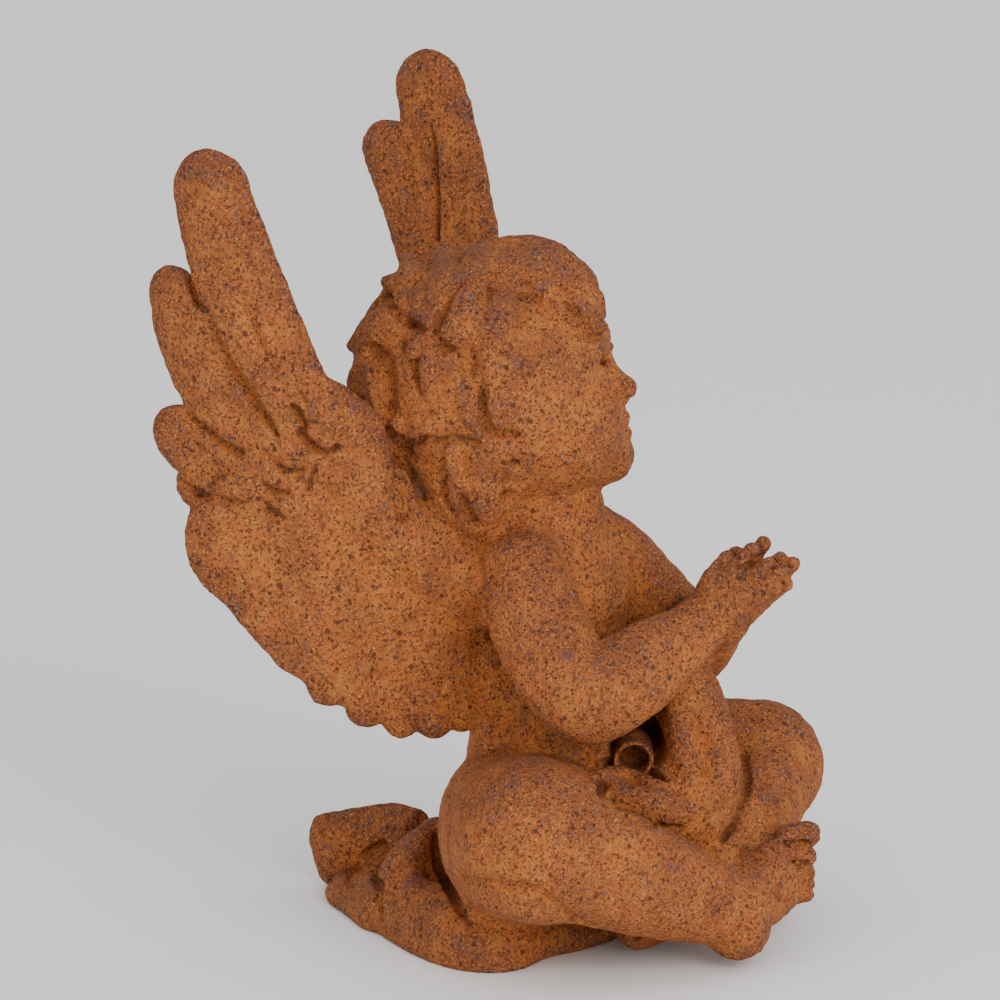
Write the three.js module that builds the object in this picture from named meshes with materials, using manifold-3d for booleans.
// A garden angel in one casting: a chubby winged child who sits cross-legged on a trailing cloth,
// looks up, and holds the flat hands together in front. Millimetres, +Z up. The figure faces -Y,
// and the origin lies on the ground, under the middle of the box around the statue.
import * as THREE from 'three';
import { mergeVertices } from 'three/addons/utils/BufferGeometryUtils.js';
import { LoftGeometry } from 'three/addons/geometries/LoftGeometry.js';
import Module from 'manifold-3d';

const wasm = await Module();
wasm.setup();

// Driving dimensions
const HEAD_YAW_DEG = 28;      // the head is turned to the figure's left
const HEAD_PITCH_DEG = 15;    // and looks up
const HEAD_AT = [-13, 2, 206];
// A wing from above, as [forward, sideways]: out of the back, then curving round to trail behind
const WING_PLAN = [[-6, 4], [-18.5, 20], [-35.5, 44], [-57, 65], [-77, 74], [-97, 77], [-116, 76.5], [-130, 74]];
const WING_ROOT = 20;         // length of that curve from its start to the wing's root
const SEAT_FORWARD = 8.77;    // the seat lies this far in front of the origin
const SEAT_RIGHT = -3.63;     // and this far to the figure's right
const SKULL = [39, 37, 40];   // half sizes: forward, sideways, up
const RUST = 0x9a5a30;
const SMOOTHING = 0.25;         // how far the finished surface may lie from the joined solids

// Places are given as the figure feels them: forward, to its right, and up.
function place(forward, right, up) {
  return new THREE.Vector3(-(right + SEAT_RIGHT), -(forward + SEAT_FORWARD), up);
}

function direction(forward, right, up) {
  return new THREE.Vector3(-right, -forward, up).normalize();
}

const UP = direction(0, 0, 1);
const FORWARD = direction(1, 0, 0);
const SIDEWAYS = direction(0, 1, 0);

// A number from 0 to 1 that looks random and is the same each time.
function vary(index, channel) {
  const wave = Math.sin(index * 12.9898 + channel * 78.233) * 437.585;
  return wave - Math.floor(wave);
}

// A solid carried along a smooth curve through stations of [point, half width, half thickness].
// face is the way that its flat side looks, or a function that gives it for a share of the way.
// tip says how far its round ends reach past the end stations: as far as the half width, for a
// feather, or as the half thickness, for a limb.
function sweep(stations, { face = FORWARD, sides = 10, rings = 7, tip = 'thick', caps = [38] } = {}) {
  const curve = new THREE.CatmullRomCurve3(stations.map((s) => s[0]), false, 'catmullrom');
  const sizes = new THREE.CatmullRomCurve3(
    stations.map((s) => new THREE.Vector3(s[1], s[2] ?? s[1], 0)), false, 'catmullrom');
  const capAngles = caps.map(THREE.MathUtils.degToRad);
  const steps = [];
  for (const angle of capAngles) steps.push({ t: 0, angle, past: -1 });
  for (let i = 0; i < rings; i++) steps.push({ t: i / (rings - 1), angle: Math.PI / 2, past: 0 });
  for (const angle of [...capAngles].reverse()) steps.push({ t: 1, angle, past: 1 });
  const sections = steps.map(({ t, angle, past }) => {
    const at = curve.getPoint(t);
    const along = curve.getTangent(t);
    const size = sizes.getPoint(t);
    const looks = typeof face === 'function' ? face(t) : face;
    const side = new THREE.Vector3().crossVectors(along, looks).normalize();
    const out = new THREE.Vector3().crossVectors(side, along).normalize();
    const reach = (tip === 'wide' ? size.x : size.y) * Math.cos(angle) * past;
    const grow = past ? Math.sin(angle) : 1;
    const centre = at.clone().addScaledVector(along, reach);
    const ring = [];
    for (let k = 0; k < sides; k++) {
      const turn = (k / sides) * 2 * Math.PI;
      ring.push(centre.clone()
        .addScaledVector(side, -size.x * grow * Math.cos(turn))
        .addScaledVector(out, size.y * grow * Math.sin(turn)));
    }
    return ring;
  });
  return new LoftGeometry(sections, { capStart: true, capEnd: true });
}

// A round limb: stations of [forward, right, up, radius].
function limb(stations, options = {}) {
  return sweep(stations.map(([f, r, u, radius]) => [place(f, r, u), radius, radius]), options);
}

// An ellipsoid with its half sizes along forward, right and up of a frame of three directions.
function ball(centre, [along, across, high], { axes = [FORWARD, SIDEWAYS, UP], sides = 14 } = {}) {
  const geometry = new THREE.SphereGeometry(1, sides, Math.max(6, Math.round(sides * 0.65)));
  const basis = new THREE.Matrix4().makeBasis(
    axes[0].clone().multiplyScalar(along),
    axes[1].clone().multiplyScalar(-across),
    axes[2].clone().multiplyScalar(high));
  geometry.applyMatrix4(new THREE.Matrix4().makeRotationX(Math.PI / 2));
  geometry.applyMatrix4(basis);
  return geometry.translate(centre.x, centre.y, centre.z);
}

// Solids are joined and cut by their merged vertices.
function toSolid(geometry) {
  const bare = new THREE.BufferGeometry();
  bare.setAttribute('position', geometry.attributes.position);
  bare.setIndex(geometry.index);
  const merged = mergeVertices(bare, 1e-4);
  const corners = merged.index.array;
  const kept = [];
  for (let i = 0; i < corners.length; i += 3) {
    const [a, b, c] = [corners[i], corners[i + 1], corners[i + 2]];
    if (a !== b && b !== c && c !== a) kept.push(a, b, c);
  }
  const solid = new wasm.Manifold(new wasm.Mesh({
    numProp: 3,
    vertProperties: new Float32Array(merged.attributes.position.array),
    triVerts: new Uint32Array(kept),
  }));
  if (solid.volume() <= 0) throw new Error('a piece is inside out');
  return solid;
}

function join(geometries) {
  return geometries.map(toSolid).reduce((whole, piece) => whole.add(piece));
}

// The head's own directions: the way it faces, its right side, and its crown.
const yaw = THREE.MathUtils.degToRad(HEAD_YAW_DEG);
const pitch = THREE.MathUtils.degToRad(HEAD_PITCH_DEG);
const FACING = direction(Math.cos(pitch) * Math.cos(yaw), -Math.cos(pitch) * Math.sin(yaw), Math.sin(pitch));
const HEAD_RIGHT = direction(Math.sin(yaw), Math.cos(yaw), 0);
const CROWN = new THREE.Vector3().crossVectors(FACING, HEAD_RIGHT).multiplyScalar(-1).normalize();
const HEAD_AXES = [FACING, HEAD_RIGHT, CROWN];

// A place on the head: ahead of, to the right of and above its middle.
function onHead(ahead, right, above) {
  return place(...HEAD_AT)
    .addScaledVector(FACING, ahead)
    .addScaledVector(HEAD_RIGHT, right)
    .addScaledVector(CROWN, above);
}

// A place on the hair, by the angle round the head from the face and the angle above its middle.
function onHair(round, above, distance) {
  const a = THREE.MathUtils.degToRad(round);
  const e = THREE.MathUtils.degToRad(above);
  return onHead(
    -8 + distance * Math.cos(e) * Math.cos(a),
    distance * Math.cos(e) * Math.sin(a),
    3 + distance * Math.sin(e));
}

function torso() {
  return [
    sweep([
      [place(0, 0, 20), 38, 32],
      [place(4, 0, 72), 32, 31],
      [place(5, 0, 104), 29, 25],
      [place(5, 0, 130), 31, 20],
      [place(1, 0, 147), 25, 19],
      [place(-6, 1, 162), 19, 19],
      [place(-10, 1, 178), 18, 18],
    ], { sides: 14, rings: 10 }),
    ball(place(15, 0, 70), [27, 31, 28], { sides: 12 }),
    ball(place(34, 2, 66), [26, 27, 24], { sides: 10 }),
    limb([[-4, -25, 137, 14], [-9, 0, 141, 20], [-4, 25, 137, 14]], { sides: 8, rings: 3 }),
    ball(place(15, 0, 126), [15, 26, 14], { sides: 8 }),
  ];
}

function face() {
  const pieces = [
    ball(onHead(-2, 0, 2), SKULL, { axes: HEAD_AXES, sides: 16 }),
    ball(onHead(8, 0, -22), [28, 32, 26], { axes: HEAD_AXES, sides: 14 }),
    ball(onHead(27, 0, -38), [9, 12, 9], { axes: HEAD_AXES, sides: 10 }),
    sweep([
      [onHead(32.5, 0, -1), 3, 3],
      [onHead(39.2, 0, -14.5), 4.8, 4.3],
    ], { face: FACING, sides: 6, rings: 2 }),
    ball(onHead(33.5, 0, -26), [4.5, 8, 2.6], { axes: HEAD_AXES, sides: 6 }),
    ball(onHead(33, 0, -30.6), [4.5, 6.5, 2.8], { axes: HEAD_AXES, sides: 6 }),
  ];
  for (const side of [1, -1]) {
    pieces.push(ball(onHead(17, side * 16, -21), [19, 17, 17], { axes: HEAD_AXES, sides: 12 }));
    pieces.push(ball(onHead(30.5, side * 13.5, -4.5), [5.5, 7, 5], { axes: HEAD_AXES, sides: 8 }));
  }
  return pieces;
}

// Locks of hair: rows of short thick tufts that run down from the crown and end in a curl.
function hair() {
  const rows = [
    { above: 80, reach: 38, count: 5, from: -180, to: 108 },
    { above: 50, reach: 30, count: 9, from: -174, to: 134 },
    { above: 24, reach: 30, count: 8, from: 68, to: 292 },
    { above: -2, reach: 30, count: 7, from: 82, to: 278 },
    { above: -26, reach: 30, count: 6, from: 98, to: 262 },
  ];
  const pieces = [
    ball(onHead(-11, 0, 4), [42, 43, 43], { axes: HEAD_AXES, sides: 14 }),
    ball(onHead(-24, 0, -27), [23, 34, 27], { axes: HEAD_AXES, sides: 10 }),
  ];
  // Tufts that stand out over the forehead, at the back and at the crown: angle round the head from
  // the face, angle above its middle, distance, half width and half thickness
  const tufts = [
    [[-30, 78, 42.5, 8, 5], [-12, 62, 46.5, 10, 6], [2, 47, 50, 9, 6], [6, 34, 48.5, 5, 4]],
    [[30, 80, 42.5, 7, 5], [26, 62, 45.5, 9, 6], [22, 46, 49, 8, 6], [16, 32, 48.5, 4, 4]],
    [[8, 34, 46, 5, 5], [4, 25, 47.5, 5.5, 5], [2, 17, 46, 4, 4]],
    [[140, 54, 43, 8, 5], [158, 41, 46.5, 9, 6], [170, 32, 50, 7, 5], [176, 27, 53.5, 2.2, 2.5]],
    [[160, 25, 44, 8, 6], [168, 12, 47, 9, 6], [170, -2, 49, 6, 4], [166, -10, 51, 3, 3]],
  ];
  for (const stations of tufts) {
    const [round, above] = stations[1];
    const out = onHair(round, above, 1).sub(onHair(round, above, 0));
    pieces.push(sweep(
      stations.map(([a, e, distance, wide, thick]) => [onHair(a, e, distance), wide, thick]),
      { face: out, sides: 6, rings: 4 }));
  }
  let index = 0;
  for (const row of rows) {
    for (let k = 0; k < row.count; k++) {
      index += 1;
      const round = row.from + ((row.to - row.from) * k) / (row.count - 1) + 8 * (vary(index, 1) - 0.5);
      const above = row.above + 8 * (vary(index, 2) - 0.5);
      const curl = (vary(index, 3) > 0.5 ? 1 : -1) * (10 + 12 * vary(index, 4));
      const reach = row.reach * (0.85 + 0.35 * vary(index, 5));
      const width = 11 + 3 * vary(index, 6);
      const out = onHair(round, above, 1).sub(onHair(round, above, 0));
      pieces.push(sweep([
        [onHair(round, above, 42), width * 0.7, 5],
        [onHair(round + curl * 0.6, above - reach * 0.4, 45), width, 6.5],
        [onHair(round + curl, above - reach * 0.8, 45.5), width * 0.8, 6],
        [onHair(round + curl * 0.5, above - reach * 1.15, 48), width * 0.35, 3.5],
      ], { face: out, sides: 6, rings: 4 }));
    }
  }
  return pieces;
}

function arm(side) {
  const lean = side < 0 ? 2 : 0;   // the left arm is held a little further back and higher
  const onHand = (along, over, out) => place(
    67 + along * 0.74 - over * 0.67, side * out, 122 + along * 0.67 + over * 0.74);
  const pieces = [
    limb([
      [4 - lean, side * 24, 138, 17],
      [12 - lean, side * 32, 129, 17.5],
      [25 - lean, side * 37, 114, 17.5],
      [38 - lean, side * 39, 101 + lean, 17],
      [48 - lean, side * 33, 105 + lean, 17 - 0.6 * lean],
      [58 - 0.7 * lean, side * 22, 114 + lean, 15 - 0.5 * lean],
      [69, side * 10, 123.5, 10.5],
    ], { sides: 12, rings: 11 }),
    sweep([
      [place(66, side * 9, 122), 8.5, 6],
      [place(76, side * 6.5, 131.5), 10.5, 5.4],
      [place(84, side * 5, 139), 10, 4.6],
    ], { face: SIDEWAYS, sides: 8, rings: 3 }),
    // The thumb lies along the top of the palm
    sweep([
      [onHand(6, 6, 5.5), 4.2, 4],
      [onHand(25, 12, 3.5), 3, 3],
    ], { face: SIDEWAYS, sides: 6, rings: 2 }),
  ];
  // Fingers: how far each reaches along the hand from the wrist, how far it lies above its middle,
  // and how far its tip is spread
  const fingers = [[40, 8.5, 3.8], [47, 3.5, 1.6], [49, -1.5, 0], [44, -6, -1.2]];
  for (const [reach, above, spread] of fingers) {
    pieces.push(sweep([
      [onHand(18, above * 0.8, 5), 3.6],
      [onHand(reach - 3, above + spread, 4.3), 2.8],
    ], { face: SIDEWAYS, sides: 6, rings: 2 }));
  }
  return pieces;
}

function rightLeg() {
  const pieces = [
    limb([[3, 24, 43, 30.5], [17, 45, 46, 31], [30, 62, 52, 30], [38, 71, 54, 29]],
      { sides: 14, rings: 5, caps: [25, 55] }),
    limb([[40, 70, 52, 27], [53, 60, 46, 23], [67, 44, 37, 20.5], [79, 29, 29.5, 16.5], [86, 18, 25, 13.5]],
      { sides: 12, rings: 7 }),
    ball(place(90, 16, 16), [12, 12, 13], { sides: 10 }),
    sweep([
      [place(87, 15, 20), 12.5, 12],
      [place(92, -6, 27), 15, 9.5],
      [place(95, -17, 30), 14.5, 7],
    ], { face: FORWARD, sides: 8, rings: 4 }),
  ];
  const toes = [[42, 5.4], [35.2, 4], [29.4, 3.7], [24.3, 3.3], [19.8, 3]];
  for (const [up, radius] of toes) {
    pieces.push(limb([[93, -16, up - 0.5, radius], [98, -22.5, up, radius]], { sides: 6, rings: 2 }));
  }
  return pieces;
}

function leftLeg() {
  return [
    limb([[2, -24, 40, 31], [22, -45, 44, 29], [40, -60, 49, 26], [52.5, -68, 50.5, 24]],
      { sides: 14, rings: 5, caps: [25, 55] }),
    limb([[54, -66, 49, 22], [61, -48, 44, 20], [68, -28, 40, 17], [73, -8, 37, 13], [74, 4, 32, 11]],
      { sides: 12, rings: 7 }),
    sweep([
      [place(70, 2, 24), 11, 10],
      [place(60, 12, 16), 10, 9],
      [place(52, 22, 11), 10, 8],
    ], { face: UP, sides: 7, rings: 3 }),
  ];
}

// The cloth: a pad under the seat, the roll at the right knee, the apron in the lap and the tail.
function cloth() {
  return [
    ball(place(-2, 4, 6), [39, 54, 18], { sides: 16 }),
    ball(place(28, -40, 8), [34, 34, 24], { sides: 12 }),
    // The roll that comes from under the right knee and runs back to the tail
    sweep([
      [place(-62, 20, 4), 8, 10],
      [place(-38, 38, 6), 11.5, 15],
      [place(-8, 53, 6), 15.5, 18],
      [place(10, 57, 6), 14.5, 19],
      [place(17, 46, 8), 9, 15],
      [place(17, 33, 8), 8, 12],
    ], { face: UP, sides: 10, rings: 10 }),
    // The two folds that fall from the back, and the raised flap at the end of the tail
    limb([[-33, 20, 33, 7], [-40, 30, 25, 8], [-41, 38, 14, 9]], { sides: 8, rings: 5 }),
    limb([[-44, 18, 31, 5], [-55, 20, 23, 6], [-64, 20, 11, 6]], { sides: 8, rings: 4 }),
    sweep([
      [place(-46, 8, 23), 13.5, 5],
      [place(-63, 1, 21), 14.5, 4.5],
      [place(-80, 1, 16.5), 13.5, 4.5],
      [place(-88, 6, 12.5), 11.5, 4.5],
      [place(-83, 12, 9), 9, 4.5],
    ], { face: SIDEWAYS, sides: 8, rings: 8 }),
    ball(place(-57, 12, 3), [33, 22, 9], { sides: 8 }),
    ball(place(-34, 8, 12), [24, 28, 22], { sides: 8 }),
    // The apron: over the left forearm and down into the lap, and the band from it to the right hip
    sweep([
      [place(52, -6, 106), 12, 8],
      [place(60, -5, 88), 15, 11],
      [place(63, -2, 66), 18, 15],
      [place(57, 0, 44), 24, 17],
    ], { face: FORWARD, sides: 8, rings: 5 }),
    limb([[70, -10, 44, 9], [66, 10, 52, 9], [55, 25, 59, 8.5], [40, 33, 64, 7.5], [24, 36, 68, 7]],
      { sides: 8, rings: 7 }),
  ];
}

// The hollow that the cloth leaves under the right forearm, and the rolled end that lies in it
function pocket() {
  return ball(place(52, 24, 77), [10, 18, 10], { sides: 10 });
}

function rolledEnd() {
  return limb([[44, 4, 73, 7], [47, 15, 75, 7]], { sides: 8, rings: 2, caps: [60] });
}

const wingPlan = new THREE.CatmullRomCurve3(WING_PLAN.map(([f, r]) => new THREE.Vector3(f, r, 0)), false, 'catmullrom');
const wingLength = wingPlan.getLength();

// A place on a wing: how far out along its plan from the root, how high, and how proud of its sheet.
function onWing(side, out, up, proud = 0) {
  const share = THREE.MathUtils.clamp((out + WING_ROOT) / wingLength, 0, 1);
  const at = wingPlan.getPointAt(share);
  const along = wingPlan.getTangentAt(share);
  return place(at.x + along.y * proud, side * (at.y - along.x * proud), up);
}

// The way that the front of a wing's sheet looks at a place along its plan.
function wingFace(side, out) {
  return onWing(side, out, 0, 1).sub(onWing(side, out, 0, 0)).normalize();
}

function wing(side) {
  const blade = (stations, proud, options = {}) => {
    const outs = new THREE.CatmullRomCurve3(stations.map((s) => new THREE.Vector3(s[0], 0, 0)), false, 'catmullrom');
    return sweep(
      stations.map(([out, up, wide, thick]) => [onWing(side, out, up, proud), wide, thick]),
      { face: (t) => wingFace(side, outs.getPoint(t).x), sides: 6, rings: 6, tip: 'wide', ...options });
  };
  // The left wing's two top feathers stand a little higher than the right one's, and are broader
  const lift = side < 0 ? [6, 23] : [0, 0];
  const broad = side < 0 ? 1 : 0;
  const slim = side < 0 ? 4 : 0;
  const pieces = [
    // The fan of the wing, the fleshy arm along its leading edge, and the three long feathers
    blade([[0, 110, 27, 6], [26, 120, 38, 5.5], [54, 135, 36, 5], [82, 152, 28, 4]], 0, { sides: 8, rings: 4 }),
    blade([[-5, 128, 14, 12], [12, 139, 14, 11], [29, 153, 13.5, 10], [41, 171, 13, 9], [47, 190, 13, 8],
      [58, 204, 10, 7]], 2, { sides: 7, rings: 6, tip: 'thick' }),
    blade([[42, 176, 13, 5], [58.5, 190, 16, 5.5], [70.5, 207, 17.2, 5.2], [79.5, 227, 17.5, 5],
      [87, 246 + lift[0] / 2, 17.3, 4.8], [94, 265 + lift[0], 16.8 + broad, 4.6],
      [99.7, 282.6 + lift[0], 15.2 + broad, 4.4]], 1.5, { sides: 6, rings: 7, caps: [25, 55] }),
    blade([[44, 158, 12, 4.8], [72, 180, 14.5, 4.8], [97 - slim, 204, 15 - slim / 2, 4.6],
      [111 - slim, 226 + lift[1] / 2, 14 - slim / 2, 4.4], [117, 241 + lift[1], 11.5, 4.2]], -1, { rings: 6 }),
    blade([[42, 142, 11, 4.8], [68, 160, 12, 4.8], [96, 178, 12.5, 4.4], [115.5, 189.5, 11, 4.2]], -2, { rings: 4 }),
  ];
  // The scalloped fringe: short feathers that end along one curve
  const fringe = new THREE.CatmullRomCurve3([
    [106, 170], [96.5, 151], [82.5, 129], [62.5, 106], [37.5, 89], [14, 83], [-4, 87.5],
  ].map(([out, up]) => new THREE.Vector3(out, up, 0)), false, 'catmullrom');
  const lobes = 9;
  for (let k = 0; k < lobes; k++) {
    const end = fringe.getPoint(k / (lobes - 1));
    const wide = 10.5 + 1.5 * vary(k, 7);
    const start = new THREE.Vector3(36, 132, 0).lerp(end, 0.45);
    pieces.push(blade([
      [start.x, start.y, wide, 4],
      [end.x, end.y, wide, 4],
    ], -1, { rings: 2 }));
  }
  return pieces;
}

const whole = join([
  ...torso(),
  ...face(),
  ...hair(),
  ...arm(1),
  ...arm(-1),
  ...rightLeg(),
  ...leftLeg(),
  ...cloth(),
  ...wing(1),
  ...wing(-1),
]);

// What would reach below the ground is cut off flat, which gives the underside that it stands on.
const ground = toSolid(new THREE.BoxGeometry(600, 600, 100).translate(0, 0, -50));
const standing = whole.subtract(toSolid(pocket())).add(toSolid(rolledEnd())).subtract(ground);

// Takes out corners that hardly shape the surface, such as those of the slivers along a joint: a
// corner moves onto a neighbour that lies within the tolerance of every face around the corner.
function simplify(solid, tolerance) {
  const mesh = solid.getMesh();
  const points = [];
  for (let i = 0; i < mesh.vertProperties.length; i += 3) {
    points.push(new THREE.Vector3().fromArray(mesh.vertProperties, i));
  }
  const faces = [];
  for (let i = 0; i < mesh.triVerts.length; i += 3) faces.push([...mesh.triVerts.slice(i, i + 3)]);
  const facesAt = points.map(() => new Set());
  faces.forEach((face, f) => face.forEach((p) => facesAt[p].add(f)));

  const neighbours = (p) => new Set([...facesAt[p]].flatMap((f) => faces[f]).filter((q) => q !== p));
  const areaVector = ([a, b, c]) => new THREE.Vector3().crossVectors(
    points[b].clone().sub(points[a]), points[c].clone().sub(points[a]));

  // The farthest that q lies from the faces around p, or a huge number where p may not move onto q
  const cost = (p, q) => {
    const step = points[q].clone().sub(points[p]);
    let worst = 0;
    for (const f of facesAt[p]) {
      const before = areaVector(faces[f]);
      const size = before.length();
      if (size > 0.02) worst = Math.max(worst, Math.abs(before.dot(step)) / size);
      if (faces[f].includes(q)) continue;
      const after = areaVector(faces[f].map((corner) => (corner === p ? q : corner)));
      const turned = size > 0.02 && after.dot(before) < 0.3 * after.length() * size;
      if (after.length() < 0.01 || turned) return Infinity;
    }
    return worst;
  };

  const shared = (p, q) => {
    const near = neighbours(q);
    return [...neighbours(p)].filter((corner) => near.has(corner)).length;
  };

  let moved = true;
  while (moved) {
    moved = false;
    for (let p = 0; p < points.length; p++) {
      if (!facesAt[p].size) continue;
      let best = null;
      let least = tolerance;
      for (const q of neighbours(p)) {
        const price = cost(p, q);
        if (price < least && shared(p, q) === 2) [best, least] = [q, price];
      }
      if (best === null) continue;
      for (const f of facesAt[p]) {
        if (faces[f].includes(best)) {
          for (const corner of faces[f]) facesAt[corner].delete(f);
          faces[f] = [];
        } else {
          faces[f] = faces[f].map((corner) => (corner === p ? best : corner));
          facesAt[best].add(f);
        }
      }
      facesAt[p].clear();
      moved = true;
    }
  }

  // Only the largest shell is kept, so that no sealed pocket is left between the joined solids
  const shells = [];
  const seen = new Set();
  for (let start = 0; start < points.length; start++) {
    if (!facesAt[start].size || seen.has(start)) continue;
    const shell = new Set();
    const queue = [start];
    seen.add(start);
    while (queue.length) {
      const p = queue.pop();
      facesAt[p].forEach((f) => shell.add(f));
      for (const q of neighbours(p)) {
        if (seen.has(q)) continue;
        seen.add(q);
        queue.push(q);
      }
    }
    shells.push([...shell]);
  }
  const outer = shells.reduce((largest, shell) => (shell.length > largest.length ? shell : largest));

  const geometry = new THREE.BufferGeometry();
  geometry.setAttribute('position', new THREE.BufferAttribute(mesh.vertProperties, 3));
  geometry.setIndex(outer.flatMap((f) => faces[f]));
  return toSolid(geometry);
}

function toGeometry(solid) {
  const mesh = solid.getMesh();
  const geometry = new THREE.BufferGeometry();
  geometry.setAttribute('position', new THREE.BufferAttribute(mesh.vertProperties, 3));
  geometry.setIndex(new THREE.BufferAttribute(mesh.triVerts, 1));
  geometry.computeVertexNormals();
  return geometry;
}

const statue = new THREE.Mesh(
  toGeometry(simplify(standing, SMOOTHING)),
  new THREE.MeshStandardMaterial({ color: RUST, roughness: 0.92, metalness: 0 }));
statue.name = 'angel_statue';

const group = new THREE.Group();
group.add(statue);

export default group;
